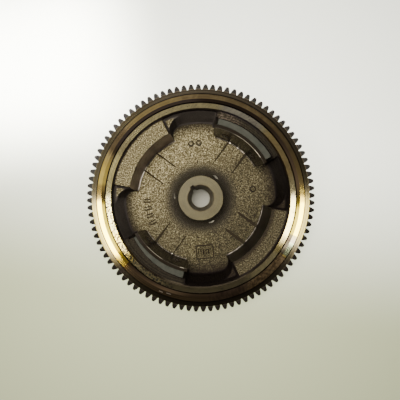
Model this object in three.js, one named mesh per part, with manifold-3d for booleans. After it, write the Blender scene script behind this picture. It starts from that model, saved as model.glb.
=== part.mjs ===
// Magneto flywheel of a small air-cooled engine.
//
// Millimetres, +Z up. The flywheel lies on its fan blades with the engine side up:
// Z is the crankshaft axis, and the origin is on it, level with the blade tips.
// The cup opens upwards. Magnet poles stand at 45 and 225 degrees, bare iron poles
// at 135 and 315 degrees, and the pockets between them lie on the X and Y axes.

import * as THREE from 'three';
import { mergeVertices } from 'three/addons/utils/BufferGeometryUtils.js';
import Module from 'manifold-3d';

const wasm = await Module();
wasm.setup();

// ---------------------------------------------------------------- dimensions

const rad = THREE.MathUtils.degToRad;

const GAP = 0.3;                 // space left between pieces that touch
const ROUND_STEPS = 72;          // facets round a full turn of the casting

// Heights above the blade tips
const GEAR_FACE_Z = 66;
const RIM_FACE_Z = 63.6;
const POLE_TOP_Z = 60;
const LEDGE_Z = 52;
const HUB_FACE_Z = 52;
const FLOOR_Z = 23.3;
const WEB_BACK_Z = 14;
const BOSS_BACK_Z = 9;

// Ring gear
const TEETH = 96;
const MODULE = 2.5;
const PRESSURE_ANGLE = rad(20);
const PITCH_R = TEETH * MODULE / 2;
const TIP_R = PITCH_R + MODULE;
const ROOT_R = PITCH_R - 1.25 * MODULE;
const GEAR_WIDTH = 12;
const GEAR_CHAMFER_WIDTH = 3;
const GEAR_CHAMFER_DEPTH = GEAR_FACE_Z - RIM_FACE_Z;
const TURNED_LINE_R = 112;       // shallow groove between the toothed land and the inner band
const TURNED_LINE_WIDTH = 0.9;
const TURNED_LINE_DEPTH = 0.5;
const ENTRY_BEVEL_WIDTH = 1.2;   // bevel on one flank of each tooth, where the pinion enters
const ENTRY_BEVEL_DEPTH = 2.5;

// Rim and cup
const SPIGOT_R = 103.5;          // seat of the ring gear
const CUP_MOUTH_R = 97.2;
const CUP_FOOT_R = 95.8;
const CUP_CORNER = 4;
const FLANGE_R = 112;            // shoulder that the ring gear sits against
const FLANGE_THICKNESS = 8;
const RIM_TOP_R = 109;
const RIM_BACK_R = 107.5;
const EDGE_BREAK = 0.8;

// Hub and its tapered bore
const HUB_R = 25.2;
const HUB_ROOT_R = 26.7;
const HUB_FILLET = 19;
const BOSS_R = 42;
const BORE_LARGE_R = 14.8;
const BORE_TAPER = 1 / 8;        // on the diameter
const BORE_SMALL_R = BORE_LARGE_R - (HUB_FACE_Z - BOSS_BACK_Z) * BORE_TAPER / 2;
const KEYWAY_WIDTH = 4.8;
const KEYWAY_DEPTH = 2.4;
const KEYWAY_ANGLE = 119.5;
const PULLER_HOLES = 3;
const PULLER_HOLE_R = 4.75;
const PULLER_CIRCLE_R = 28.9;    // close in, so that each hole breaks out through the hub's fillet
const PULLER_HOLE_TOP_Z = 28.5;  // where the drill's point begins
const DRILL_POINT_ANGLE = rad(31);
const PULLER_FIRST_ANGLE = 46;

// Poles inside the cup
const POLE_BORE_R = 79.3;
const SHOE_THICKNESS = 3.9;
const MAGNET_THICKNESS = 7.3;
const MAGNET_R = POLE_BORE_R + SHOE_THICKNESS + GAP;
const SEAT_R = MAGNET_R + MAGNET_THICKNESS + GAP;
const POLE_ROOT_R = 99;          // pads run into the rim down to here
const POLE_FOOT_Z = 24.7;        // cast step that magnets and shoes stand on
const MAGNET_TOP_Z = 59.4;
const IRON_POLE_TOP_SPAN = 54.6; // the ends lean out from the top down to a shoulder
const IRON_POLE_SPAN = 57.5;     // at the shoulder
const IRON_POLE_FOOT_SPAN = 58.4;
const POLE_SHOULDER_Z = 53.5;
const MAGNET_POLE_SPAN = 51;
const MAGNET_SPAN = 47;
const POLE_CORNER_R = 14.2;      // fillet between an iron pole's end and the cup wall
const GROOVE_OFFSET = 13.3;      // core lines on the floor, either side of each pole
const GROOVE_WIDTH = 1.4;
const GROOVE_DEPTH = 1.2;
const GROOVE_INNER_R = 49;
const GROOVE_OUTER_R = 78.5;
const MAGNET_POLES = { a: 45, b: 225 };
const IRON_POLES = [135, 315];

// Countersunk screws through shoe and magnet
const SCREW_SPREAD = 14;         // degrees either side of the pole's middle
const SCREW_Z = 42;
const SCREW_R = 3;
const SCREW_HEAD_R = 5.4;
const SCREW_FACE_R = POLE_BORE_R + 0.3;
const SCREW_END_R = 99;
const SCREW_STEPS = 16;

// Fan blades on the far side of the web
const BLADES = 28;
const BLADE_THICKNESS = 3.6;
const BLADE_INNER_R = 60;
const BLADE_INNER_TIP_R = 66;
const BLADE_OUTER_R = 107;
const BLADE_SWEEP = 9;           // degrees that the outer end trails
const BLADE_EDGE = 2;

// Balance drillings in the back of the rim
const BALANCE_R = 100;
const BALANCE_HOLE_R = 3.5;
const BALANCE_DEPTH = 6;

// ----------------------------------------------------------------- utilities

function solidOf(geometry) {
  const bare = geometry.clone();
  bare.deleteAttribute('normal');
  bare.deleteAttribute('uv');
  const merged = mergeVertices(bare, 1e-4);
  const mesh = new wasm.Mesh({
    numProp: 3,
    vertProperties: new Float32Array(merged.attributes.position.array),
    triVerts: new Uint32Array(merged.index.array),
  });
  return new wasm.Manifold(mesh);
}

function geometryOf(solid) {
  const mesh = solid.getMesh();
  const geometry = new THREE.BufferGeometry();
  geometry.setAttribute('position', new THREE.BufferAttribute(mesh.vertProperties, 3));
  geometry.setIndex(new THREE.BufferAttribute(mesh.triVerts, 1));
  geometry.computeVertexNormals();
  return geometry;
}

// Turns a closed (radius, height) outline, drawn anticlockwise, round the Z axis.
function turned(outline, steps = ROUND_STEPS) {
  const profile = [...outline, outline[0]].map(([r, z]) => new THREE.Vector2(r, z));
  const geometry = new THREE.LatheGeometry(profile, steps);
  geometry.rotateX(Math.PI / 2);
  return solidOf(geometry);
}

// Points along an arc, both ends included.
function arcPoints(centreR, centreZ, radius, fromDegrees, toDegrees, steps) {
  const points = [];
  for (let i = 0; i <= steps; i += 1) {
    const angle = rad(fromDegrees + (toDegrees - fromDegrees) * i / steps);
    points.push([centreR + radius * Math.cos(angle), centreZ + radius * Math.sin(angle)]);
  }
  return points;
}

function raised(shape, lowZ, highZ, curveSegments = 12) {
  const geometry = new THREE.ExtrudeGeometry(shape, {
    depth: highZ - lowZ,
    bevelEnabled: false,
    curveSegments,
  });
  geometry.translate(0, 0, lowZ);
  return solidOf(geometry);
}

// A block of a ring, centred on an angle.
function ringSector(innerR, outerR, lowZ, highZ, centreDegrees, spanDegrees) {
  const start = rad(centreDegrees - spanDegrees / 2);
  const end = rad(centreDegrees + spanDegrees / 2);
  const shape = new THREE.Shape();
  shape.absarc(0, 0, outerR, start, end, false);
  shape.absarc(0, 0, innerR, end, start, true);
  return raised(shape, lowZ, highZ, 6);
}

// A solid through closed loops of equally many [x, y, z] points, lowest loop first, each
// drawn anticlockwise as seen from above.
function lofted(loops) {
  const count = loops[0].length;
  const positions = loops.flat(2);
  const indices = [];
  for (let level = 0; level < loops.length - 1; level += 1) {
    for (let k = 0; k < count; k += 1) {
      const next = (k + 1) % count;
      const [a, b] = [level * count + k, level * count + next];
      indices.push(a, b, b + count, a, b + count, a + count);
    }
  }
  const outline = loops[0].map(([x, y]) => new THREE.Vector2(x, y));
  const top = (loops.length - 1) * count;
  for (const [a, b, c] of THREE.ShapeUtils.triangulateShape(outline, [])) {
    indices.push(a, c, b, top + a, top + b, top + c);
  }
  const geometry = new THREE.BufferGeometry();
  geometry.setAttribute('position', new THREE.Float32BufferAttribute(positions, 3));
  geometry.setIndex(indices);
  return solidOf(geometry);
}

function boxAt(sizeX, sizeY, sizeZ, x, y, z) {
  const geometry = new THREE.BoxGeometry(sizeX, sizeY, sizeZ);
  geometry.translate(x, y, z);
  return geometry;
}

// A drilled hole that ends in a drill's point.
function blindHole(radius, lowZ, highZ, r, degrees, steps = 20) {
  const pointZ = highZ + radius * Math.tan(DRILL_POINT_ANGLE);
  const outline = [[0, lowZ], [radius, lowZ], [radius, highZ], [0, pointZ]];
  return turned(outline, steps).translate([r, 0, 0]).rotate([0, 0, degrees]);
}

function drilled(radius, lowZ, highZ, r, degrees, steps = 20) {
  const geometry = new THREE.CylinderGeometry(radius, radius, highZ - lowZ, steps);
  geometry.rotateX(Math.PI / 2);
  geometry.translate(r, 0, (lowZ + highZ) / 2);
  geometry.rotateZ(rad(degrees));
  return solidOf(geometry);
}

// ------------------------------------------------------------------- casting

function cupBody() {
  const flangeTopZ = GEAR_FACE_Z - GEAR_WIDTH - GAP;
  const flangeBackZ = flangeTopZ - FLANGE_THICKNESS;
  return turned([
    [BORE_SMALL_R + EDGE_BREAK, BOSS_BACK_Z],
    [BOSS_R - EDGE_BREAK, BOSS_BACK_Z],
    [BOSS_R, BOSS_BACK_Z + EDGE_BREAK],
    [BOSS_R + 2, WEB_BACK_Z],
    [RIM_BACK_R - EDGE_BREAK, WEB_BACK_Z],
    [RIM_BACK_R, WEB_BACK_Z + EDGE_BREAK],
    [RIM_TOP_R, flangeBackZ - 3],
    [FLANGE_R, flangeBackZ],
    [FLANGE_R, flangeTopZ],
    [SPIGOT_R, flangeTopZ],
    [SPIGOT_R, RIM_FACE_Z - EDGE_BREAK / 2],
    [SPIGOT_R - EDGE_BREAK / 2, RIM_FACE_Z],
    [CUP_MOUTH_R, RIM_FACE_Z],
    ...arcPoints(CUP_FOOT_R - CUP_CORNER, FLOOR_Z + CUP_CORNER, CUP_CORNER, 0, -90, 3),
    ...arcPoints(HUB_ROOT_R + HUB_FILLET, FLOOR_Z + HUB_FILLET, HUB_FILLET, 270, 180, 6),
    [HUB_R, HUB_FACE_Z - EDGE_BREAK],
    [HUB_R - EDGE_BREAK, HUB_FACE_Z],
    [BORE_LARGE_R + EDGE_BREAK, HUB_FACE_Z],
    [BORE_LARGE_R, HUB_FACE_Z - EDGE_BREAK],
    [BORE_SMALL_R, BOSS_BACK_Z + EDGE_BREAK],
  ]);
}

// The curved triangle that rounds the corner between an iron pole's end and the cup
// wall. side is +1 at the pole's anticlockwise end and -1 at the other.
function poleCorner(poleDegrees, side) {
  const endAngle = rad(poleDegrees + side * IRON_POLE_SPAN / 2);
  const centreR = CUP_FOOT_R - POLE_CORNER_R;
  const swing = Math.asin(POLE_CORNER_R / centreR);
  const wallAngle = endAngle + side * swing;
  const tangentR = Math.sqrt(centreR ** 2 - POLE_CORNER_R ** 2);
  const polar = (r, angle) => [r * Math.cos(angle), r * Math.sin(angle)];
  const shape = new THREE.Shape();
  shape.moveTo(...polar(tangentR, endAngle - side * 0.01));
  shape.lineTo(...polar(POLE_ROOT_R, endAngle - side * 0.01));
  shape.lineTo(...polar(POLE_ROOT_R, wallAngle));
  const [x, y] = polar(centreR, wallAngle);
  shape.absarc(x, y, POLE_CORNER_R, wallAngle, endAngle - side * Math.PI / 2, side > 0);
  return raised(shape, FLOOR_Z - 1, LEDGE_Z, 4);
}

// An iron pole with drafted ends, from [height, span in degrees] pairs.
function ironPole(poleDegrees) {
  const levels = [
    [FLOOR_Z - 1, IRON_POLE_FOOT_SPAN],
    [POLE_SHOULDER_Z, IRON_POLE_SPAN],
    [POLE_TOP_Z, IRON_POLE_TOP_SPAN],
  ];
  const steps = 9;
  return lofted(levels.map(([z, span]) => {
    const outer = [];
    const inner = [];
    for (let i = 0; i <= steps; i += 1) {
      const angle = rad(poleDegrees + span * (i / steps - 0.5));
      outer.push([POLE_ROOT_R * Math.cos(angle), POLE_ROOT_R * Math.sin(angle), z]);
      inner.unshift([POLE_BORE_R * Math.cos(angle), POLE_BORE_R * Math.sin(angle), z]);
    }
    return [...outer, ...inner];
  }));
}

function poles() {
  const parts = [];
  for (const degrees of IRON_POLES) {
    parts.push(ironPole(degrees), poleCorner(degrees, 1), poleCorner(degrees, -1));
  }
  for (const degrees of Object.values(MAGNET_POLES)) {
    const span = MAGNET_POLE_SPAN;
    parts.push(ringSector(SEAT_R, POLE_ROOT_R, FLOOR_Z - 1, POLE_TOP_Z, degrees, span));
    parts.push(ringSector(POLE_BORE_R, POLE_ROOT_R, FLOOR_Z - 1, POLE_FOOT_Z, degrees, span));
  }
  return parts;
}

function blades() {
  const middleR = (BLADE_INNER_R + BLADE_OUTER_R) / 2;
  const half = BLADE_THICKNESS / 2;
  const sweepY = BLADE_OUTER_R * Math.sin(rad(BLADE_SWEEP));
  const outerX = BLADE_OUTER_R * Math.cos(rad(BLADE_SWEEP)) + 2;
  const shape = new THREE.Shape();
  shape.moveTo(BLADE_INNER_R - 1, -half);
  shape.quadraticCurveTo(middleR, -half, outerX, -sweepY - half);
  shape.lineTo(outerX, -sweepY + half);
  shape.quadraticCurveTo(middleR, half, BLADE_INNER_R - 1, half);
  const blade = raised(shape, -1, WEB_BACK_Z + 1, 3);
  const envelope = turned([
    [BLADE_INNER_TIP_R, 0],
    [BLADE_OUTER_R - BLADE_EDGE, 0],
    [BLADE_OUTER_R, BLADE_EDGE],
    [BLADE_OUTER_R, WEB_BACK_Z + 0.5],
    [BLADE_INNER_R, WEB_BACK_Z + 0.5],
  ]);
  const trimmed = blade.intersect(envelope);
  const all = [];
  for (let i = 0; i < BLADES; i += 1) {
    all.push(trimmed.rotate([0, 0, i * 360 / BLADES]));
  }
  return all;
}

function keyway() {
  const length = HUB_FACE_Z - BOSS_BACK_Z + 20;
  const depth = 2 * KEYWAY_DEPTH;
  const middleR = (BORE_LARGE_R + BORE_SMALL_R) / 2;
  const geometry = boxAt(depth, KEYWAY_WIDTH, length, 0, 0, 0);
  geometry.rotateY(Math.atan(BORE_TAPER / 2));
  geometry.translate(middleR, 0, (HUB_FACE_Z + BOSS_BACK_Z) / 2);
  geometry.rotateZ(rad(KEYWAY_ANGLE));
  return solidOf(geometry);
}

function floorGrooves() {
  const length = GROOVE_OUTER_R - GROOVE_INNER_R;
  const middleR = (GROOVE_OUTER_R + GROOVE_INNER_R) / 2;
  const cuts = [];
  for (const degrees of [...IRON_POLES, ...Object.values(MAGNET_POLES)]) {
    for (const side of [-1, 1]) {
      const y = side * GROOVE_OFFSET;
      const geometry = boxAt(length, GROOVE_WIDTH, 2 * GROOVE_DEPTH, middleR, y, FLOOR_Z);
      geometry.rotateZ(rad(degrees));
      cuts.push(solidOf(geometry));
    }
  }
  return cuts;
}

// A round solid along +X, from a list of [x, radius], turned to a screw's place.
function radialTurned(stations, poleDegrees, side) {
  const outline = [[0, stations[0][0]], ...stations.map(([x, r]) => [r, x])];
  outline.push([0, stations[stations.length - 1][0]]);
  const profile = outline.map(([r, x]) => new THREE.Vector2(r, x));
  const geometry = new THREE.LatheGeometry(profile, SCREW_STEPS);
  geometry.rotateZ(-Math.PI / 2);
  geometry.translate(0, 0, SCREW_Z);
  geometry.rotateZ(rad(poleDegrees + side * SCREW_SPREAD));
  return solidOf(geometry);
}

function screwBody(poleDegrees, side) {
  const coneEnd = SCREW_FACE_R + SCREW_HEAD_R - SCREW_R;
  return radialTurned([
    [SCREW_FACE_R, SCREW_HEAD_R],
    [coneEnd, SCREW_R],
    [SCREW_END_R, SCREW_R],
  ], poleDegrees, side);
}

// The hole that the screw leaves in the shoe, magnet and rim, all round clear of it.
function screwHole(poleDegrees, side) {
  const mouthR = SCREW_HEAD_R + GAP;
  const coneEnd = SCREW_FACE_R + SCREW_HEAD_R - SCREW_R;
  return radialTurned([
    [SCREW_FACE_R - 3, mouthR],
    [SCREW_FACE_R, mouthR],
    [coneEnd, SCREW_R + GAP],
    [SCREW_END_R + 1, SCREW_R + GAP],
  ], poleDegrees, side);
}

const screwHoles = [];
for (const degrees of Object.values(MAGNET_POLES)) {
  screwHoles.push(screwHole(degrees, -1), screwHole(degrees, 1));
}

function castingSolid() {
  const cuts = [keyway(), ...floorGrooves(), ...screwHoles];
  for (let i = 0; i < PULLER_HOLES; i += 1) {
    const degrees = PULLER_FIRST_ANGLE + i * 360 / PULLER_HOLES;
    cuts.push(blindHole(PULLER_HOLE_R, 0, PULLER_HOLE_TOP_Z, PULLER_CIRCLE_R, degrees));
  }
  const bladePitch = 360 / BLADES;
  for (const pitch of [19.5, 20.5]) {
    const topZ = WEB_BACK_Z + BALANCE_DEPTH;
    const degrees = pitch * bladePitch - BLADE_SWEEP * 0.75;
    cuts.push(drilled(BALANCE_HOLE_R, 0, topZ, BALANCE_R, degrees, 12));
  }
  const whole = wasm.Manifold.union([cupBody(), ...poles(), ...blades()]);
  return whole.subtract(wasm.Manifold.union(cuts));
}

// ----------------------------------------------------------------- ring gear

const involute = (angle) => Math.tan(angle) - angle;

// Half the angle that a tooth spans at a radius.
function halfTooth(r) {
  const baseR = PITCH_R * Math.cos(PRESSURE_ANGLE);
  const angle = Math.acos(baseR / r);
  return Math.PI / (2 * TEETH) + involute(PRESSURE_ANGLE) - involute(angle);
}

function gearOutline() {
  const flank = [ROOT_R, PITCH_R - 0.4, TIP_R];
  const shape = new THREE.Shape();
  for (let tooth = 0; tooth < TEETH; tooth += 1) {
    const centre = tooth * 2 * Math.PI / TEETH;
    const rising = flank.map((r) => [r, centre - halfTooth(r)]);
    const falling = [...flank].reverse().map((r) => [r, centre + halfTooth(r)]);
    for (const [r, angle] of [...rising, ...falling]) {
      const point = [r * Math.cos(angle), r * Math.sin(angle)];
      if (tooth === 0 && shape.curves.length === 0 && shape.currentPoint.length() === 0) {
        shape.moveTo(...point);
      } else {
        shape.lineTo(...point);
      }
    }
  }
  const bore = new THREE.Path();
  bore.absarc(0, 0, SPIGOT_R + GAP, 0, 2 * Math.PI, true);
  shape.holes.push(bore);
  return shape;
}

// One wedge along the anticlockwise flank of the tooth on the +X axis.
function entryBevel() {
  const w = ENTRY_BEVEL_WIDTH;
  const d = ENTRY_BEVEL_DEPTH;
  const wedge = new THREE.Shape();
  wedge.moveTo(-1.5 * w, 0.5 * d);
  wedge.lineTo(0.5 * w, -1.5 * d);
  wedge.lineTo(0.5 * w, 0.5 * d);
  const rootHalf = ROOT_R * halfTooth(ROOT_R);
  const tipHalf = TIP_R * halfTooth(TIP_R);
  const height = TIP_R - ROOT_R;
  const lean = Math.atan((rootHalf - tipHalf) / height);
  const geometry = new THREE.ExtrudeGeometry(wedge, { depth: height + 3, bevelEnabled: false });
  // Extrusion runs along +Z: lay it along +X, with the wedge's width on Y and depth on Z.
  geometry.rotateX(Math.PI / 2);
  geometry.rotateZ(Math.PI / 2);
  geometry.rotateZ(-lean);
  geometry.translate(ROOT_R, rootHalf, GEAR_FACE_Z);
  return solidOf(geometry);
}

function gearSolid() {
  const lowZ = GEAR_FACE_Z - GEAR_WIDTH;
  const blank = raised(gearOutline(), lowZ, GEAR_FACE_Z, 36);
  const boreR = SPIGOT_R + GAP;
  const chamfer = turned([
    [boreR - 2, GEAR_FACE_Z - GEAR_CHAMFER_DEPTH],
    [boreR, GEAR_FACE_Z - GEAR_CHAMFER_DEPTH],
    [boreR + GEAR_CHAMFER_WIDTH, GEAR_FACE_Z],
    [boreR + GEAR_CHAMFER_WIDTH, GEAR_FACE_Z + 1],
    [boreR - 2, GEAR_FACE_Z + 1],
  ]);
  const line = turned([
    [TURNED_LINE_R, GEAR_FACE_Z - TURNED_LINE_DEPTH],
    [TURNED_LINE_R + TURNED_LINE_WIDTH / 2, GEAR_FACE_Z],
    [TURNED_LINE_R + TURNED_LINE_WIDTH / 2, GEAR_FACE_Z + 1],
    [TURNED_LINE_R - TURNED_LINE_WIDTH / 2, GEAR_FACE_Z + 1],
    [TURNED_LINE_R - TURNED_LINE_WIDTH / 2, GEAR_FACE_Z],
  ]);
  const bevel = entryBevel();
  const cuts = [chamfer, line];
  for (let tooth = 0; tooth < TEETH; tooth += 1) {
    cuts.push(bevel.rotate([0, 0, tooth * 360 / TEETH]));
  }
  return blank.subtract(wasm.Manifold.union(cuts));
}

// -------------------------------------------------------------- pole pieces

function shoeSolid(degrees) {
  const outerR = POLE_BORE_R + SHOE_THICKNESS;
  const lowZ = POLE_FOOT_Z + GAP;
  const blank = ringSector(POLE_BORE_R, outerR, lowZ, POLE_TOP_Z, degrees, MAGNET_POLE_SPAN);
  return blank.subtract(wasm.Manifold.union(screwHoles));
}

function magnetSolid(degrees) {
  const outerR = MAGNET_R + MAGNET_THICKNESS;
  const lowZ = POLE_FOOT_Z + GAP;
  const blank = ringSector(MAGNET_R, outerR, lowZ, MAGNET_TOP_Z, degrees, MAGNET_SPAN);
  return blank.subtract(wasm.Manifold.union(screwHoles));
}

// ------------------------------------------------------------------ assembly

const looks = {
  casting: { color: 0x7a7058, roughness: 0.75, metalness: 0.6 },
  gear: { color: 0x6a563a, roughness: 0.4, metalness: 0.9 },
  magnet: { color: 0x5a574c, roughness: 0.55, metalness: 0.2 },
  shoe: { color: 0x3b332c, roughness: 0.35, metalness: 0.9 },
  screw: { color: 0x4a443c, roughness: 0.4, metalness: 0.9 },
};

function piece(name, solid, look) {
  const mesh = new THREE.Mesh(geometryOf(solid), new THREE.MeshStandardMaterial(looks[look]));
  mesh.name = name;
  return mesh;
}

const flywheel = new THREE.Group();
flywheel.add(piece('flywheel_casting', castingSolid(), 'casting'));
flywheel.add(piece('ring_gear', gearSolid(), 'gear'));
for (const [letter, degrees] of Object.entries(MAGNET_POLES)) {
  flywheel.add(piece(`magnet_${letter}`, magnetSolid(degrees), 'magnet'));
  flywheel.add(piece(`pole_shoe_${letter}`, shoeSolid(degrees), 'shoe'));
  flywheel.add(piece(`pole_shoe_screw_${letter}1`, screwBody(degrees, -1), 'screw'));
  flywheel.add(piece(`pole_shoe_screw_${letter}2`, screwBody(degrees, 1), 'screw'));
}

export default flywheel;
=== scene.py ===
"""Looks for the small-engine magneto flywheel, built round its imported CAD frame.

Lengths below are millimetres in the CAD's own frame: Z is the crankshaft axis, the cup
opens upwards, and the fan blades stand on Z = 0. MM turns them into Blender's metres.
The casting is made as the real one is: a rough sand casting with machining stock, then
crisp cuts for each face that a lathe, boring bar or drill would finish.
"""

import math

import bmesh
import bpy
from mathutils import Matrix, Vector


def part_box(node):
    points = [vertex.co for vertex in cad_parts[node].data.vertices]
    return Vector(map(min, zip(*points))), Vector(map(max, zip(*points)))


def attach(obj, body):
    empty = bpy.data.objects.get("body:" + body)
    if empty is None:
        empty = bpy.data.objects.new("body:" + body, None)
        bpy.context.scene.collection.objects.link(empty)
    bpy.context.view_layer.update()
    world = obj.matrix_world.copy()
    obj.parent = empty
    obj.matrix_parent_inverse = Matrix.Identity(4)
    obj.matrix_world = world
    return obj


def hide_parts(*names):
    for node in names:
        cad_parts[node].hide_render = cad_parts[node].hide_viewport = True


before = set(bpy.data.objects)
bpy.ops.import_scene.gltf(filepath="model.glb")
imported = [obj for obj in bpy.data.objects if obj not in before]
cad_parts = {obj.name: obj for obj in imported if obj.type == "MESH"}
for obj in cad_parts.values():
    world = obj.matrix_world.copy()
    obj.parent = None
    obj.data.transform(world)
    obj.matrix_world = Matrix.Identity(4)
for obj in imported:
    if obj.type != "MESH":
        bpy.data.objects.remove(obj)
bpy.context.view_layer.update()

MM = 0.001

# ------------------------------------------------------------------ dimensions


def heights(name):
    """Where a CAD node begins and ends along the axis, in millimetres."""
    low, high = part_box(name)
    return low[2] / MM, high[2] / MM


GEAR_BACK_Z, GEAR_FACE_Z = heights("ring_gear")
SHOE_LOW_Z, POLE_TOP_Z = heights("pole_shoe_a")
MAGNET_LOW_Z, MAGNET_TOP_Z = heights("magnet_a")
GEAR_SEAT_Z = 53.7
RIM_FACE_Z = heights("flywheel_casting")[1]
FLANGE_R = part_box("flywheel_casting")[1][0] / MM
FLANGE_LOW_Z = 46
DRUM_R = 109
DRUM_FOOT_R = 107.5
DRUM_TOP_Z = 42.5
POLE_FOOT_Z = 24.7
LEDGE_Z = 52
HUB_FACE_Z = 52
FLOOR_Z = 23.3
WEB_BACK_Z = 14
BOSS_BACK_Z = 9
GAP = 0.3            # between pieces that touch

TEETH = 96
MODULE = 2.5
PITCH_R = TEETH * MODULE / 2
TIP_R = PITCH_R + MODULE
ROOT_R = PITCH_R - 1.25 * MODULE
TOOTH_GROWTH = 0.4   # half of what the teeth are thicker than standard, at root and tip
TOOTH_BULGE = 1.2    # how much of that there is more halfway up a tooth
LAND_R = 115.6       # where the gear's flat outer land meets the teeth
SCRIBED_R = 112      # a turned line on the gear's face
BAND_R = 106.7       # where the gear's leaning inner face meets its flat one

SPIGOT_R = 103.5
CUP_MOUTH_R = 97.2
CUP_FOOT_R = 95.8
CUP_FILLET = 4
HUB_R = 25.2
HUB_ROOT_R = 26.7
HUB_FILLET = 19
BOSS_R = 42
TAPER = 1 / 16       # what the bore's radius gains for each millimetre of height
BORE_LARGE_R = 14.8
BORE_SMALL_R = BORE_LARGE_R - (HUB_FACE_Z - BOSS_BACK_Z) * TAPER
KEYWAY_WIDTH = 4.8
KEYWAY_ANGLE = 119.5

POLE_BORE_R = 79.3
SHOE_THICKNESS = 3.9
MAGNET_THICKNESS = 7.3
MAGNET_R = POLE_BORE_R + SHOE_THICKNESS + GAP
SEAT_R = MAGNET_R + MAGNET_THICKNESS + GAP
POLE_ROOT_R = 99
IRON_POLE_TOP_SPAN = 54.6
IRON_POLE_SPAN = 57.5
POLE_SHOULDER_Z = 53.5
MAGNET_POLE_SPAN = 51
MAGNET_SPAN = 47
POLE_CORNER_R = 14.2
IRON_POLES = (135, 315)
MAGNET_POLES = {"a": 45, "b": 225}
LIP_OVERLAPS = {"a": 1.4, "b": -5.6}   # iron over each magnet's edge, thickest at one end
SCREW_Z = 42
SCREW_TURNS = (-14, 14)                # degrees from a pole's middle to its two screws
SCREW_HEAD_R = 5.4
SCREW_SHANK_R = 3

BLADES = 28
BLADE_FOOT_R = 59
BLADE_TIP_R = 107
BLADE_SWEEP = 9
BALANCE_DRILLINGS = (19.5, 20.5)       # places counted in blade pitches
PULLER_CIRCLE_R = 28.9
PULLER_HOLE_TOP_Z = 28.5
PULLER_HOLES = (46, 166, 286)
CORE_LINE_SIDE = 13.3                  # from a pole's middle line to each of its lines
CORE_LINE_ENDS = (49, 78.5)
# For each pole, its two lines' widths near the hub and at the pole.
CORE_LINE_WIDTHS = {
    135: ((1.6, 2.2), (1.6, 2.2)), 315: ((3.0, 4.2), (3.0, 4.2)),
    45: ((1.6, 2.6), (1.6, 4.0)), 225: ((1.6, 1.5), (1.6, 3.8)),
}

MARK_R = 68
TALLY_BARS = (174, 182, 190, 198)
TALLY_LENGTH = 9
FRAME_ANGLE = 265.6
DOTS = ((70, 83, 2.7), (70, 91, 2.7), (67, 1, 3.2))   # distance, angle and radius

STOCK = 1.5          # metal left on the rough casting for machining
BORE_STOCK = 0.8     # the same inside the poles
VOXEL = 1.1          # grid that rounds the rough casting's edges
VIEW_TURN = 8.9      # degrees that the camera is turned clockwise round the axis


# ------------------------------------------------------------------ mesh tools


def polar(r, degrees, z):
    angle = math.radians(degrees)
    return (r * math.cos(angle), r * math.sin(angle), z)


def spun(x, y, degrees):
    """A flat point turned round the Z axis."""
    c = math.cos(math.radians(degrees))
    s = math.sin(math.radians(degrees))
    return x * c - y * s, x * s + y * c


def skin(loops, wrap=False):
    """Points and faces between loops of equally many points. Open ends get caps."""
    count = len(loops[0])
    points = [point for loop in loops for point in loop]
    faces = []
    for i in range(len(loops) if wrap else len(loops) - 1):
        a = i * count
        b = (i + 1) % len(loops) * count
        for k in range(count):
            m = (k + 1) % count
            faces.append((a + k, a + m, b + m, b + k))
    if not wrap:
        last = (len(loops) - 1) * count
        faces.append(tuple(range(count))[::-1])
        faces.append(tuple(range(last, last + count)))
    return points, faces


def turned(outline, steps=240):
    """A closed (radius, height) outline turned round the Z axis."""
    loops = [[polar(r, 360 * i / steps, z) for r, z in outline] for i in range(steps)]
    return skin(loops, wrap=True)


def circle(radius, steps):
    return [polar(radius, 360 * i / steps, 0)[:2] for i in range(steps)]


def post(stations, r=0.0, degrees=0.0, steps=48):
    """A round upright post from (radius, height) stations."""
    x, y, _ = polar(r, degrees, 0)
    return skin([[(x + px, y + py, z) for px, py in circle(radius, steps)]
                 for radius, z in stations])


def radial_post(stations, z, degrees, steps=40):
    """A round bar pointing away from the Z axis, from (distance, radius) stations."""
    return skin([[(*spun(distance, side, degrees), z + rise)
                  for side, rise in circle(radius, steps)] for distance, radius in stations])


def block(size, r, side, z, degrees):
    """A box of (radial, tangential, upright) size, centred at r, side and z, then turned."""
    loops = []
    for dz in (-size[2] / 2, size[2] / 2):
        loop = []
        for dr, ds in ((-1, -1), (1, -1), (1, 1), (-1, 1)):
            corner = spun(r + dr * size[0] / 2, side + ds * size[1] / 2, degrees)
            loop.append((*corner, z + dz))
        loops.append(loop)
    return skin(loops)


def pad(levels, degrees, steps=24, taper=0.0):
    """A block of a ring. levels are (z, inner radius, outer radius, span in degrees).
    taper makes it so many millimetres thicker inwards at its anticlockwise end."""
    shares = [i / steps for i in range(steps + 1)]
    loops = []
    for z, inner, outer, span in levels:
        loop = [polar(outer, degrees + span * (t - 0.5), z) for t in shares]
        for t in reversed(shares):
            loop.append(polar(inner - taper * t, degrees + span * (t - 0.5), z))
        loops.append(loop)
    return skin(loops)


def arc_bar(section, degrees, span, break_mm=0.5, steps=64, wave=0.0):
    """A bar bent round the Z axis, with its (radius, height) section and broken ends. Its
    sides wander in and out by wave millimetres."""
    middle_r = sum(r for r, _ in section) / len(section)
    middle_z = sum(z for _, z in section) / len(section)
    inset = []
    for r, z in section:
        away_r = math.copysign(break_mm, r - middle_r)
        away_z = math.copysign(break_mm, z - middle_z)
        inset.append((r - away_r, z - away_z))
    step_back = math.degrees(break_mm / middle_r)
    start = degrees - span / 2
    end = degrees + span / 2
    loops = [[polar(r, start, z) for r, z in inset]]
    for i in range(steps + 1):
        angle = start + step_back + (span - 2 * step_back) * i / steps
        drift = wave * (math.sin(i * 0.16) + 0.5 * math.sin(i * 0.41 + 1))
        loop = []
        for r, z in section:
            pull = drift if r > middle_r else -0.5 * drift
            loop.append(polar(r - abs(wave) + pull if wave else r, angle, z))
        loops.append(loop)
    loops.append([polar(r, end, z) for r, z in inset])
    return skin(loops)


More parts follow.
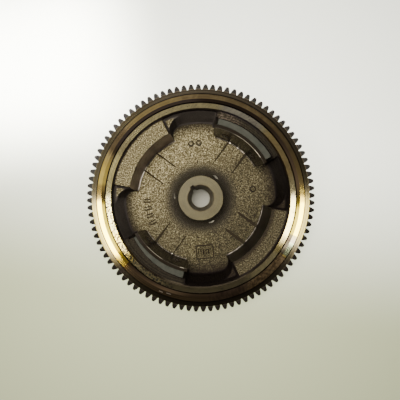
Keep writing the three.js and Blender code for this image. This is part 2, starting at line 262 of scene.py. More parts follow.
def chamfered(inner, outer, low, high, cut):
    """The section of a bar with all four corners cut."""
    return [
        (inner + cut, low), (outer - cut, low), (outer, low + cut), (outer, high - cut),
        (outer - cut, high), (inner + cut, high), (inner, high - cut), (inner, low + cut),
    ]


def make(name, shells, materials=()):
    """One object from shells of (points, faces) or (points, faces, slot). slot is one
    material index, or a list of them that repeats over the faces."""
    points = []
    faces = []
    slots = []
    for shell in shells:
        base = len(points)
        points += [tuple(c * MM for c in p) for p in shell[0]]
        faces += [tuple(base + i for i in f) for f in shell[1]]
        slot = shell[2] if len(shell) > 2 else 0
        pattern = slot if isinstance(slot, list) else [slot]
        slots += [pattern[i % len(pattern)] for i in range(len(shell[1]))]
    mesh = bpy.data.meshes.new(name)
    mesh.from_pydata(points, [], faces)
    for material in materials:
        mesh.materials.append(material)
    mesh.polygons.foreach_set("material_index", slots)
    outward(mesh)
    obj = bpy.data.objects.new(name, mesh)
    bpy.context.scene.collection.objects.link(obj)
    return obj


def outward(mesh):
    work = bmesh.new()
    work.from_mesh(mesh)
    bmesh.ops.recalc_face_normals(work, faces=work.faces)
    work.to_mesh(mesh)
    work.free()


def apply_modifiers(obj):
    graph = bpy.context.evaluated_depsgraph_get()
    result = bpy.data.meshes.new_from_object(obj.evaluated_get(graph))
    obj.modifiers.clear()
    obj.data = result


def cut(obj, cutter):
    """Takes the cutter away from the object. The new faces keep the cutter's material."""
    modifier = obj.modifiers.new("cut", "BOOLEAN")
    modifier.solver = "MANIFOLD"
    modifier.operation = "DIFFERENCE"
    modifier.material_mode = "TRANSFER"
    modifier.object = cutter
    apply_modifiers(obj)
    bpy.data.objects.remove(cutter)


def clouds(obj, size, strength):
    """Pushes the surface in and out by soft noise. size and strength are in mm."""
    texture = bpy.data.textures.new("clouds", "CLOUDS")
    texture.noise_scale = size * MM
    texture.noise_depth = 2
    modifier = obj.modifiers.new("clouds", "DISPLACE")
    modifier.texture = texture
    modifier.strength = strength * MM


def smooth_faces(obj, degrees):
    """The object, shaded smooth except over edges sharper than an angle."""
    mesh = obj.data
    mesh.polygons.foreach_set("use_smooth", [True] * len(mesh.polygons))
    mesh.set_sharp_from_angle(angle=math.radians(degrees))
    return obj


# ------------------------------------------------------------------- materials


def fill_ramp(ramp, stops):
    """Sets a ramp's stops, each a position and a grey or a colour."""
    while len(ramp.elements) < len(stops):
        ramp.elements.new(0.5)
    for element, (position, colour) in zip(ramp.elements, stops):
        element.position = position
        grey = isinstance(colour, (int, float))
        element.color = (colour,) * 3 + (1,) if grey else (*colour, 1)


class Look:
    """A Principled material under construction. Coordinates are the frame's millimetres."""

    def __init__(self, name):
        self.material = bpy.data.materials.new(name)
        self.material.use_nodes = True
        self.tree = self.material.node_tree
        self.shader = self.tree.nodes["Principled BSDF"]
        place = self.put("ShaderNodeTexCoord").outputs["Object"]
        self.mm = self.vector("SCALE", place, 1 / MM)
        split = self.put("ShaderNodeSeparateXYZ", {}, {"Vector": self.mm})
        self.x, self.y, self.z = split.outputs
        square = self.total(self.times(self.x, self.x), self.times(self.y, self.y))
        self.r = self.math("SQRT", square)
        turn = self.math("ARCTAN2", self.y, self.x)
        self.angle = self.times(turn, 180 / math.pi)

    def put(self, kind, settings=None, inputs=None):
        made = self.tree.nodes.new(kind)
        for key, value in (settings or {}).items():
            setattr(made, key, value)
        for key, value in (inputs or {}).items():
            self.feed(made.inputs[key], value)
        return made

    def feed(self, socket, value):
        if isinstance(value, bpy.types.NodeSocket):
            self.tree.links.new(value, socket)
        else:
            socket.default_value = value

    def math(self, operation, a, b=0.0, clamp=False):
        made = self.put("ShaderNodeMath", {"operation": operation, "use_clamp": clamp})
        self.feed(made.inputs[0], a)
        self.feed(made.inputs[1], b)
        return made.outputs[0]

    def chain(self, operation, values):
        result = values[0]
        for value in values[1:]:
            result = self.math(operation, result, value)
        return result

    def times(self, *factors):
        return self.chain("MULTIPLY", factors)

    def total(self, *parts):
        return self.chain("ADD", parts)

    def less(self, whole, part):
        return self.math("SUBTRACT", whole, part)

    def highest(self, *choices):
        return self.chain("MAXIMUM", choices)

    def vector(self, operation, a, b):
        made = self.put("ShaderNodeVectorMath", {"operation": operation})
        self.feed(made.inputs[0], a)
        self.feed(made.inputs["Scale" if operation == "SCALE" else 1], b)
        return made.outputs[0]

    def noise(self, scale, detail=3.0, roughness=0.55, vector=None):
        """Noise from 0 to 1. scale is in features per millimetre."""
        made = self.put("ShaderNodeTexNoise", {}, {
            "Vector": vector or self.mm, "Scale": scale, "Detail": detail,
            "Roughness": roughness})
        return made.outputs["Fac"]

    def spread(self, x, y, z=0.0):
        made = self.put("ShaderNodeCombineXYZ", {}, {"X": x, "Y": y, "Z": z})
        return made.outputs[0]

    def turning(self, per_mm):
        """Fine rings round the Z axis, as a lathe leaves them."""
        place = self.spread(self.times(self.r, per_mm), self.times(self.angle, 0.01),
                            self.times(self.z, per_mm * 0.7))
        return self.noise(1.0, 4.0, 0.6, place)

    def feed_lines(self, across, along):
        """Lines round the Z axis, one above the other, as a boring bar leaves them."""
        place = self.vector("MULTIPLY", self.mm, (across, across, along))
        return self.noise(1.0, 3.0, 0.6, place)

    def step(self, value, low, high):
        """0 below low, 1 above high, and smooth between. With low above high it falls."""
        made = self.put("ShaderNodeMapRange", {"interpolation_type": "SMOOTHSTEP"}, {
            "Value": value, "From Min": min(low, high), "From Max": max(low, high),
            "To Min": float(low > high), "To Max": float(low < high)})
        return made.outputs[0]

    def band(self, value, low, high, soft):
        """1 between low and high, falling to 0 over soft outside them."""
        return self.times(self.step(value, low - soft, low), self.step(value, high + soft, high))

    def arc(self, middle, half, soft):
        """1 within half degrees of an angle round the axis, falling to 0 over soft."""
        away = self.less(self.angle, middle)
        wrapped = self.put("ShaderNodeMath", {"operation": "WRAP"})
        for socket, value in zip(wrapped.inputs, (away, 180, -180)):
            self.feed(socket, value)
        return self.step(self.math("ABSOLUTE", wrapped.outputs[0]), half + soft, half)

    def level(self):
        """How far the surface faces along the axis: 1 flat, 0 upright."""
        geometry = self.put("ShaderNodeNewGeometry")
        split = self.put("ShaderNodeSeparateXYZ", {}, {"Vector": geometry.outputs["Normal"]})
        return self.math("ABSOLUTE", split.outputs[2])

    def oil_and_side_shade(self, least=0.0, most=1.0):
        """Darker towards one side of the cup: partly old oiling lying thickest there, partly
        painted shade on the side that gets less light.
        """
        turn = math.radians(120)
        patch = self.less(self.noise(0.035, 2.0), 0.5)
        toward = self.total(self.times(self.x, math.cos(turn) / 100),
                            self.times(self.y, math.sin(turn) / 100), self.times(patch, 0.4))
        toward = self.total(self.times(toward, 1 / 1.2), 0.5)
        amount = self.ramp(toward, [(0.0, 1.0), (0.5, 0.75), (1.0, 0.0)])
        return self.total(self.times(amount, most - least), least)

    def ramp(self, value, stops):
        """Colours along a value. stops are (position, grey or colour)."""
        made = self.put("ShaderNodeValToRGB", {}, {"Fac": value})
        fill_ramp(made.color_ramp, stops)
        return made.outputs["Color"]

    def rise(self, value, low, high, most=1.0):
        """0 up to low, most from high on, and a straight climb between."""
        return self.ramp(value, [(low, 0.0), (high, most)])

    def mix(self, amount, a, b, blend="MIX"):
        made = self.put("ShaderNodeMix", {"data_type": "RGBA", "blend_type": blend})
        self.feed(made.inputs[0], amount)
        for socket, value in ((made.inputs[6], a), (made.inputs[7], b)):
            self.feed(socket, value if isinstance(value, bpy.types.NodeSocket) else (*value, 1))
        return made.outputs[2]

    def tint(self, amount, colour, tone):
        return self.mix(amount, colour, tone, "MULTIPLY")

    def patch(self, colour, arc, tone, share=1.0):
        """Covers an arc of (middle, half, soft edge) degrees with a share of a tone."""
        return self.mix(self.times(self.arc(*arc), share), colour, tone)

    def bump(self, height, distance_mm, strength=1.0, under=None):
        made = self.put("ShaderNodeBump", {}, {
            "Height": height, "Distance": distance_mm * MM, "Strength": strength})
        if under is not None:
            self.feed(made.inputs["Normal"], under)
        return made.outputs["Normal"]

    def done(self, colour, roughness, metallic, normal=None, specular=0.5):
        values = {"Base Color": colour, "Roughness": roughness, "Metallic": metallic,
                  "Specular IOR Level": specular}
        if normal is not None:
            values["Normal"] = normal
        for key, value in values.items():
            self.feed(self.shader.inputs[key], value)
        return self.material


# Linear colours that several materials share.
# A near-black for soot and for painted shade on upright faces.
SOOT_AND_SHADE = (0.006, 0.0045, 0.004)
# A deep brown, for the scribed line and for the rim's lower arc.
DEEP_BROWN = (0.03, 0.024, 0.016)


def cast_iron():
    """Sand-cast skin: grains lightened by wear, darkened on the walls and round the hub partly by
    old oiling and soot and partly as painted shade.
    """
    look = Look("sand_cast_iron")
    grain = look.noise(0.8, 2.0, 0.6)
    grit = look.noise(1.6, 2.0, 0.5)
    in_cup = look.times(look.step(look.r, 99.5, 98.5), look.step(look.z, 20, 22))
    pad_height = look.step(look.z, 57, 58)
    pad_top = look.times(pad_height, in_cup)

    colour = look.ramp(grain, [
        (0.36, (0.018, 0.0135, 0.006)), (0.46, (0.058, 0.045, 0.019)),
        (0.56, (0.122, 0.1, 0.051)), (0.68, (0.33, 0.285, 0.17)),
    ])
    thinner = look.less(1, look.times(pad_height, 0.12))
    # Darker towards one side: partly oiling, partly painted shade.
    side_darkening = look.times(look.oil_and_side_shade(), thinner)
    colour = look.tint(side_darkening, colour, (0.27, 0.26, 0.225))
    wiped = look.times(look.arc(261, 10, 14), look.step(look.r, 80, 72))
    colour = look.tint(wiped, colour, (1.35, 1.37, 1.35))
    colour = look.tint(look.arc(38, 14, 14), colour, (0.87, 0.86, 0.84))
    # A dark ring round the hub: partly oiling, partly painted shade in its concave fillet.
    hub_oil_and_shade = look.times(look.step(look.r, 52, 34), in_cup, 0.93)
    colour = look.mix(hub_oil_and_shade, colour, (0.011, 0.0086, 0.0056))

    # Painted shade where the floor and the pad tops meet the cup wall; dirt on the ledges, the pad
    # tops and the pads' inner edges, heavier on one side.
    low = look.times(look.step(look.z, 32, 28), in_cup)
    wall_foot_shade = look.times(look.step(look.r, 78, 95), low, 0.85)
    pad_edge = look.times(look.step(look.r, 94, 96.4), pad_top, 0.9)
    pad_inside = look.times(look.step(look.r, 88, 80), pad_top, look.oil_and_side_shade(0.0, 0.85))
    ledge = look.times(look.band(look.z, 49, 54, 1), in_cup, look.oil_and_side_shade(0.3, 0.88))
    grime_and_shade = look.highest(wall_foot_shade, pad_edge, ledge, look.times(pad_top, 0.23), pad_inside)
    colour = look.mix(grime_and_shade, colour, (0.007, 0.005, 0.004))

    rusty = look.ramp(look.noise(0.5, 3.0, 0.65), [
        (0.45, (0.006, 0.0045, 0.003)), (0.62, (0.048, 0.036, 0.028)),
    ])
    rusty = look.mix(look.arc(66, 7, 9), (0.0075, 0.006, 0.0042), rusty)
    scored = look.total(look.band(look.r, 91.9, 92.4, 0.3), look.band(look.r, 94.6, 95.1, 0.3))
    rusty = look.mix(look.times(scored, 0.9), rusty, (0.0008, 0.0006, 0.0005))
    half = MAGNET_POLE_SPAN / 2
    strip = look.total(*(look.arc(pole, half, 0.5) for pole in MAGNET_POLES.values()))
    strip = look.times(strip, look.step(look.r, 83.6, 84), look.step(look.z, 55, 56), in_cup)
    colour = look.mix(look.times(strip, 0.93), colour, rusty)

    # Upright faces in the cup go near-black: partly soot, partly painted shade where the light only
    # grazes them.
    wall = look.times(look.step(look.level(), 0.93, 0.6), in_cup, look.step(look.r, 36, 44))
    wall_soot_and_shade = look.mix(look.oil_and_side_shade(), (0.045, 0.038, 0.034), (0.0045, 0.0034, 0.003))
    wall_soot_and_shade = look.mix(look.times(look.step(look.r, 95.4, 94.6), 0.6), wall_soot_and_shade, SOOT_AND_SHADE)
    wall_soot_and_shade = look.mix(look.step(look.z, 57, 59), wall_soot_and_shade, SOOT_AND_SHADE)
    colour = look.mix(look.times(wall, 0.95), colour, wall_soot_and_shade)
    outside = look.times(look.step(look.r, 98.5, 99.5), 0.4)
    colour = look.mix(outside, colour, (0.05, 0.04, 0.027))

    normal = look.bump(grit, 0.3, 0.7, look.bump(grain, 1.0, 0.9))
    rough = look.ramp(grain, [(0.3, 0.8), (0.7, 0.45)])
    dull = look.highest(wall, grime_and_shade, look.times(strip, 0.8))
    metal = look.less(0.3, look.times(dull, 0.3))
    shine = look.less(0.16, look.times(dull, 0.16))
    return look.done(colour, rough, metal, normal, shine)


def turned_face(name, light, dark, rough, pores=0.9, metallic=0.92, specular=0.1):
    """A lathe-finished iron face, with rings and small open pores. Its stains, tints, painted
    highlight arcs and a lower arc darkened partly by oiling and partly as painted dark
    reflection are on the rim only."""
    look = Look(name)
    rim = look.step(look.r, 60, 61)
    rings = look.turning(1.6)
    colour = look.mix(look.rise(rings, 0.3, 0.7), dark, light)
    colour = look.mix(look.rise(look.noise(0.1), 0.4, 0.65, 0.8), colour, dark)
    slanted = look.total(look.times(look.angle, 0.55), look.times(look.r, 0.25))
    across = look.spread(slanted, look.times(look.r, 0.1))
    hairs = look.rise(look.noise(1.0, 3.0, 0.6, across), 0.4, 0.7, 0.5)
    colour = look.mix(hairs, colour, tuple(0.5 * c for c in dark))
    # Lower arc of the rim: partly oiling, partly painted dark reflection.
    lower_oil_and_shade = look.times(look.arc(265.5, 23, 10), rim, 0.7)
    colour = look.mix(lower_oil_and_shade, colour, DEEP_BROWN)
    # Painted highlight: the rim is lightened where the lamps reflect.
    painted_glare = look.total(look.arc(188, 10, 6), look.arc(338, 9, 5))
    painted_glare = look.highest(painted_glare, look.times(look.arc(160, 14, 7), 0.33))
    colour = look.tint(look.times(painted_glare, rim), colour, (1.9, 1.9, 1.3))
    # The arc at 204 degrees yellows the left painted highlight, and the one at 321 darkens the
    # right highlight's edge as painted reflection.
    for arc, tone in (((54, 10, 8), (0.93, 1.0, 1.45)), ((20, 12, 8), (0.95, 0.85, 0.72)),
                      ((204, 8, 5), (1, 0.92, 0.5)), ((321, 4, 4), (0.7, 0.66, 0.5))):
        colour = look.tint(look.times(look.arc(*arc), rim), colour, tone)
    pitted = look.times(look.arc(207, 30, 12), rim, 0.16)
    holes = look.total(look.noise(0.6, 2.0, 0.5), pitted)
    colour = look.mix(look.rise(holes, pores, pores + 0.02), colour, (0.02, 0.016, 0.012))
    roughness = look.total(look.times(rings, 0.04), rough)
    return look.done(colour, roughness, metallic, look.bump(rings, 0.008, 0.4), specular)


def bored_pole():
    """Inner faces of the iron poles: brown where bored, bright where the tool ran out, with painted
    glints along that foot in given arcs.
    """
    look = Look("bored_pole_face")
    feed = look.feed_lines(0.1, 1.8)
    colour = look.mix(look.rise(look.noise(0.12), 0.35, 0.65),
                      (0.077, 0.057, 0.055), (0.145, 0.113, 0.108))
    colour = look.mix(look.oil_and_side_shade(0.0, 0.92), colour, (0.003, 0.0022, 0.0015))
    scraped = look.ramp(look.noise(0.3), [(0.47, 0.04), (0.58, 1.0)])
    # Bright bare metal along the foot, strongest in given arcs: partly wear, partly painted glints.
    nicks = look.total(look.arc(53.6, 1.0, 0.5), look.arc(234.3, 0.7, 0.4))
    line = look.arc(152.5, 9, 4)
    edging = look.times(look.arc(315, 26, 3), 0.33)
    wear_and_glints = look.highest(line, look.times(look.arc(46, 8, 4), 0.8), edging, nicks, 0.1)
    scraped = look.highest(scraped, nicks, look.times(line, 0.75), edging)
    foot = look.step(look.z, 24.6, 24.1)
    colour = look.mix(foot, colour, (0.016, 0.012, 0.008))
    colour = look.mix(look.times(scraped, foot, wear_and_glints), colour, (0.6, 0.52, 0.43))
    # Near-black at the top of the bored face, like the cup's upright walls: soot and painted shade.
    colour = look.mix(look.step(look.z, 56, 59), colour, SOOT_AND_SHADE)
    rough = look.total(look.times(foot, 0.3), 0.3)
    metal = look.less(0.8, look.times(foot, 0.7))
    return look.done(colour, rough, metal, look.bump(feed, 0.03, 0.4), 0.1)


def heat_band(look, streaks, foul_and_shade):
    """The gear's inner face: straw where clean, brown at the top, and streaked dark over a lower
    arc that is partly a heat stain and partly painted dark reflection; its leaning inner edge
    gets painted shade along given arcs.
    """
    straw = look.mix(look.rise(look.noise(0.05), 0.35, 0.7),
                     (0.68, 0.51, 0.13), (0.56, 0.4, 0.085))
    browned = look.mix(streaks, (0.17, 0.12, 0.06), (0.33, 0.24, 0.12))
    smear = look.rise(look.noise(0.09, 4.0, 0.6), 0.42, 0.62, 0.55)
    browned = look.mix(smear, browned, (0.4, 0.3, 0.15))
    browned = look.patch(browned, (110, 12, 8), (0.36, 0.27, 0.1), 0.5)
    browned = look.patch(browned, (136, 5, 4), (0.09, 0.06, 0.035), 0.6)
    # The patches at 321 and 327 degrees are painted reflection of the room at the right highlight;
    # the others are heat tints and stains.
    for arc, tone, share in (
            ((203, 8, 4), (0.66, 0.5, 0.13), 1), ((11, 11, 5), (0.43, 0.31, 0.13), 1),
            ((82, 60, 16), browned, 1), ((351.5, 2, 2), (0.17, 0.1, 0.04), 0.65),
            ((168, 3, 3), (0.17, 0.1, 0.04), 0.65), ((321, 3.5, 1.5), (0.3, 0.32, 0.19), 1),
            ((327, 1.8, 0.8), (0.2, 0.16, 0.13), 1)):
        straw = look.patch(straw, arc, tone, share)

    # The dark lower arc: partly heat stain with streaks, partly painted dark reflection.
    spokes = look.spread(look.times(look.angle, 0.9), look.times(look.r, 0.12))
    burnt_and_shaded = look.mix(look.rise(look.noise(1.0, 3.0, 0.6, spokes), 0.35, 0.65),
                     (0.07, 0.046, 0.03), (0.2, 0.135, 0.085))
    streaked = look.mix(streaks, (0.05, 0.034, 0.021), (0.27, 0.185, 0.095))
    blotch = look.rise(look.noise(0.35, 4.0, 0.65), 0.42, 0.6)
    smoked = look.mix(blotch, (0.17, 0.112, 0.056), (0.42, 0.294, 0.16))
    burnt_and_shaded = look.patch(burnt_and_shaded, (302, 10, 8), smoked)
    burnt_and_shaded = look.patch(burnt_and_shaded, (236, 26, 10), streaked)

    # The leaning inner edge darkens to purple-brown along given arcs: painted shade of a dark
    # reflection.
    lower_part = look.step(look.r, BAND_R + 0.3, BAND_R)
    upper_shade_arc = look.times(look.arc(66, 71, 6), 0.85)
    lower_shade_arcs = look.total(look.arc(321, 4, 3), look.times(look.arc(250, 38, 6), 0.45))
    chamfer_shade = look.highest(upper_shade_arc, look.times(lower_shade_arcs, 0.8))
    purple = look.mix(look.arc(117, 28, 12), (0.095, 0.06, 0.045), (0.2, 0.145, 0.12))
    band = look.mix(look.times(chamfer_shade, lower_part), look.mix(foul_and_shade, straw, burnt_and_shaded), purple)
    return look.mix(look.step(look.r, 104.6, 104.2), band, (0.02, 0.014, 0.01))


def gear_steel():
    """Straw and brown heat tints on the inner band, dark hardened land and teeth. Given arcs carry
    painted highlight tints, painted dark reflection and painted shade on the lower teeth.
    """
    look = Look("shrunk_gear_steel")
    rings = look.turning(1.2)
    streaks = look.rise(rings, 0.32, 0.66)
    # A lower arc darkened on band and land: partly stain, partly painted dark reflection.
    foul_and_shade = look.arc(264.3, 51.2, 0.7)
    land = look.mix(streaks, (0.05, 0.04, 0.023), (0.13, 0.106, 0.06))
    land = look.tint(look.arc(62, 42, 12), land, (1.3, 1.28, 1.5))
    land = look.mix(look.times(foul_and_shade, 0.6), land, (0.02, 0.015, 0.011))
    outer = look.step(look.r, SCRIBED_R, SCRIBED_R + 0.5)
    colour = look.mix(outer, heat_band(look, streaks, foul_and_shade), land)

    # Painted highlight colour where the lamps reflect: a yellower band and a brighter land in these
    # arcs.
    highlight_tint = look.total(look.arc(193, 15, 9), look.arc(340, 9, 8))
    amber_highlight = look.arc(208, 5, 4)
    colour = look.tint(highlight_tint, colour, (1.05, 1.08, 0.55))
    colour = look.tint(amber_highlight, colour, (1.06, 0.93, 0.66))
    colour = look.tint(look.times(highlight_tint, outer), colour, (1.35, 1.28, 1.4))
    colour = look.tint(look.times(amber_highlight, outer), colour, (0.5, 0.56, 1.15))
    line = look.band(look.r, SCRIBED_R - 0.2, SCRIBED_R + 0.4, 0.1)
    colour = look.mix(line, colour, DEEP_BROWN)
    chip = look.total(
        look.times(look.arc(238, 1.0, 0.3), look.band(look.r, 109, 109.8, 0.2)),
        look.times(look.arc(242.5, 1.2, 0.3), look.band(look.r, 108.2, 108.9, 0.2)))
    colour = look.mix(chip, colour, (0.75, 0.62, 0.5))

    teeth = look.step(look.r, 116.6, 117.6)
    # Teeth on the lower side are darker and duller: painted shade.
    shaded_low_teeth = look.times(teeth, look.arc(268, 75, 30))
    colour = look.mix(teeth, colour, (0.0075, 0.006, 0.0048))
    colour = look.mix(shaded_low_teeth, colour, (0.005, 0.004, 0.003))
    rough = look.total(0.1, look.times(outer, 0.05), look.times(foul_and_shade, 0.03),
                       look.times(teeth, 0.35))
    metal = look.less(1.0, look.times(teeth, 0.9))
    metal = look.less(metal, look.times(shaded_low_teeth, 0.09))
    shine = look.less(0.1, look.times(shaded_low_teeth, 0.085))
    return look.done(colour, rough, metal, look.bump(rings, 0.008, 0.4), shine)


def magnet_grey():
    """Dull grey with darker specks."""
    look = Look("magnet_grey")
    speck = look.noise(1.2, 2.0)
    colour = look.mix(look.rise(look.noise(0.12), 0.35, 0.7),
                      (0.012, 0.0124, 0.009), (0.0195, 0.019, 0.0142))
    colour = look.mix(look.rise(speck, 0.58, 0.75, 0.6), colour, (0.01, 0.009, 0.007))
    return look.done(colour, 0.55, 0.0, look.bump(speck, 0.06, 0.5), 0.08)


def shoe_steel():
    """Dark oiled steel, with a painted highlight in places along the shoe's upper inner edge."""
    look = Look("bored_shoe_steel")
    feed = look.feed_lines(0.12, 2.0)
    colour = look.mix(look.rise(look.noise(0.1), 0.3, 0.7),
                      (0.014, 0.011, 0.008), (0.031, 0.025, 0.018))
    colour = look.patch(colour, (63, 7, 8), (0.055, 0.046, 0.038), 0.6)
    top = look.step(look.z, 59.5, 59.8)
    colour = look.mix(top, colour, (0.008, 0.006, 0.004))
    # Painted highlight along the upper inner edge, in given arcs where the edge catches the lamps.
    bright = look.total(
        look.arc(29, 2.5, 2), look.times(look.arc(40, 9, 6), 0.35),
        look.times(look.arc(221, 6, 3), 0.3), look.times(look.arc(246, 1, 1), 0.8))
    bright = look.math("ADD", bright, 0.06, clamp=True)
    inner_edge = look.step(look.r, POLE_BORE_R + 0.65, POLE_BORE_R + 0.4)
    edge = look.times(look.step(look.z, 59.3, 59.5), inner_edge, bright, 0.7)
    colour = look.mix(edge, colour, (0.36, 0.32, 0.25))
    rough = look.less(0.26, look.times(top, 0.13))
    metal = look.less(0.75, look.times(top, 0.5))
    return look.done(colour, rough, metal, look.bump(feed, 0.03, 0.4), 0.1)


def screw_steel():
    look = Look("screw_steel")
    cloud = look.noise(0.5)
    colour = look.mix(cloud, (0.015, 0.012, 0.009), (0.05, 0.04, 0.03))
    return look.done(colour, 0.35, 0.9, look.bump(cloud, 0.04, 0.5))


def core_line():
    """Near-black fill in the floor's lines, and painted shadow in the creases round its marks."""
    look = Look("core_line")
    colour = look.mix(look.noise(0.8), (0.006, 0.0045, 0.003), (0.018, 0.014, 0.008))
    return look.done(colour, 0.8, 0.0, None, 0.03)


CAST = cast_iron()
RIM_FACE = turned_face("turned_rim_face", (0.34, 0.285, 0.15), (0.22, 0.185, 0.1), 0.08, 0.66)
HUB_FACE = turned_face("turned_hub_face", (0.052, 0.042, 0.017), (0.03, 0.024, 0.01), 0.5,
                       metallic=0.1)
BORE = turned_face("bored_hub", (0.085, 0.07, 0.042), (0.05, 0.04, 0.024), 0.6, metallic=0.3)
# Near-black with no specular: the spigot edge shows as the dark joint with the gear, and the cup
# mouth's upright wall as painted shade.
EDGE = turned_face("turned_edges", (0.01, 0.0075, 0.005), (0.006, 0.0045, 0.003), 0.7,
                   metallic=0.0, specular=0.0)
FRESH = turned_face("tapped_iron", (0.46, 0.43, 0.35), (0.34, 0.31, 0.25), 0.4, metallic=0.1)
POLE_FACE = bored_pole()
CORE_LINE = core_line()
GEAR = gear_steel()
MAGNET = magnet_grey()
SHOE = shoe_steel()
SCREW = screw_steel()


# --------------------------------------------------------------------- casting


def fillet(centre_r, centre_z, radius, start, end, steps):
    points = []
    for i in range(steps + 1):
        r, z, _ = polar(radius, start + (end - start) * i / steps, 0)
        points.append((centre_r + r, centre_z + z))
    return points


def rough_body():
    """Hub, web and rim, with stock on every face that is machined later."""
    return turned([
        (0.05, BOSS_BACK_Z - STOCK), (BOSS_R, BOSS_BACK_Z - STOCK), (BOSS_R + 2, WEB_BACK_Z),
        (DRUM_FOOT_R, WEB_BACK_Z), (DRUM_R, DRUM_TOP_Z), (FLANGE_R - 0.3, FLANGE_LOW_Z),
        (FLANGE_R - 0.3, GEAR_SEAT_Z - 0.3), (SPIGOT_R + STOCK, GEAR_SEAT_Z - 0.3),
        (SPIGOT_R + STOCK, RIM_FACE_Z + STOCK), (CUP_MOUTH_R, RIM_FACE_Z + STOCK),
        *fillet(CUP_FOOT_R - CUP_FILLET, FLOOR_Z + CUP_FILLET, CUP_FILLET, 0, -90, 4),
        *fillet(HUB_ROOT_R + HUB_FILLET, FLOOR_Z + HUB_FILLET, HUB_FILLET, 270, 180, 12),
        (HUB_R, HUB_FACE_Z + STOCK), (0.05, HUB_FACE_Z + STOCK),
    ])


def pole_corner(pole, side):
    """The curved triangle between an iron pole's end and the cup wall, up to its ledge."""
    end = pole + side * IRON_POLE_SPAN / 2
    centre_r = CUP_FOOT_R - POLE_CORNER_R
    swing = math.degrees(math.asin(POLE_CORNER_R / centre_r))
    tangent_r = math.sqrt(centre_r ** 2 - POLE_CORNER_R ** 2)
    back = end - side * 2
    first = end + side * swing
    last = end - side * 90
    outline = [polar(tangent_r, back, 0), polar(POLE_ROOT_R, back, 0), polar(POLE_ROOT_R, first, 0)]
    x, y, _ = polar(centre_r, first, 0)
    for i in range(9):
        dx, dy, _ = polar(POLE_CORNER_R, first + (last - first) * i / 8, 0)
        outline.append((x + dx, y + dy, 0))
    return skin([[(px, py, z) for px, py, _ in outline] for z in (FLOOR_Z - 1, LEDGE_Z)])


def rough_poles():
    """Iron poles and their corners, then each magnet's seat, foot, ridges and iron lip."""
    inner = POLE_BORE_R - BORE_STOCK
    span = MAGNET_POLE_SPAN
    shells = []
    for pole in IRON_POLES:
        shells.append(pad([
            (FLOOR_Z - 1, inner, POLE_ROOT_R, IRON_POLE_SPAN + 1),
            (POLE_SHOULDER_Z, inner, POLE_ROOT_R, IRON_POLE_SPAN),
            (POLE_TOP_Z, inner, POLE_ROOT_R, IRON_POLE_TOP_SPAN),
        ], pole))
        shells += [pole_corner(pole, 1), pole_corner(pole, -1)]
    for letter, pole in MAGNET_POLES.items():
        overlap = LIP_OVERLAPS[letter]
        lip_r = SEAT_R + min(overlap, 0)
        shells.append(pad([
            (MAGNET_TOP_Z + 0.1, lip_r - 0.4, POLE_ROOT_R, span - 3),
            (MAGNET_TOP_Z + 2.0, lip_r, POLE_ROOT_R, span - 3),
        ], pole, taper=overlap))
        for r in (92.6, 95.4):
            shells.append(pad([
                (POLE_TOP_Z - 1, r - 0.9, r + 0.9, span - 8),
                (POLE_TOP_Z + 0.8, r - 0.4, r + 0.4, span - 9),
            ], pole))
        for r, z, low_span, high_span in ((SEAT_R, POLE_TOP_Z, span + 2, span),
                                          (inner, POLE_FOOT_Z, span - 5, span - 6)):
            levels = [(FLOOR_Z - 1, r, POLE_ROOT_R, low_span), (z, r, POLE_ROOT_R, high_span)]
            shells.append(pad(levels, pole))
    return shells


def blade(index):
    """A swept fan blade with casting draft, thick at the web and thinner at its tip."""
    middle_r = (BLADE_FOOT_R + BLADE_TIP_R) / 2 + 0.5
    end_x, end_y, _ = polar(BLADE_TIP_R, -BLADE_SWEEP, 0)
    loops = []
    for z, half, inner in ((WEB_BACK_Z + 1, 2.1, 0.0), (7, 1.75, 0.05), (0, 1.5, 0.13)):
        sides = [[], []]
        for i in range(9):
            t = inner + (1 - inner) * i / 8
            x = (1 - t) ** 2 * BLADE_FOOT_R + 2 * t * (1 - t) * middle_r + t * t * end_x
            for side, shift in zip(sides, (-half, half)):
                side.append((*spun(x, t * t * end_y + shift, index * 360 / BLADES), z))
        loops.append(sides[0] + sides[1][::-1])
    return skin(loops)


def frame_bars(bars, middle, height):
    """The frame's bars, each of (depth, width, distance outwards, distance sideways) and
    then the same on the frame's other side."""
    shells = []
    for sign in (-1, 1):
        for depth, width, away, side in bars:
            size = (depth, width, height)
            shells.append(block(size, MARK_R + sign * away, sign * side, middle, FRAME_ANGLE))
    return shells


def foundry_marks():
    """Blank raised marks on the cup floor: dots, tally bars and a frame round two bars."""
    low = FLOOR_Z - 1
    high = FLOOR_Z + 2.0
    middle = (low + high) / 2
    height = high - low
    shells = []
    for r, degrees, radius in DOTS:
        shells.append(post([(radius, low), (radius - 0.3, high)], r, degrees, 20))
    for degrees in TALLY_BARS:
        shells.append(block((TALLY_LENGTH, 2.4, height), MARK_R, 0, middle, degrees))
    bars = ((2, 20, 6.5, 0), (15, 2, 0, 9), (6.5, 2.2, 0, 3.2))
    return shells + frame_bars(bars, middle, height)


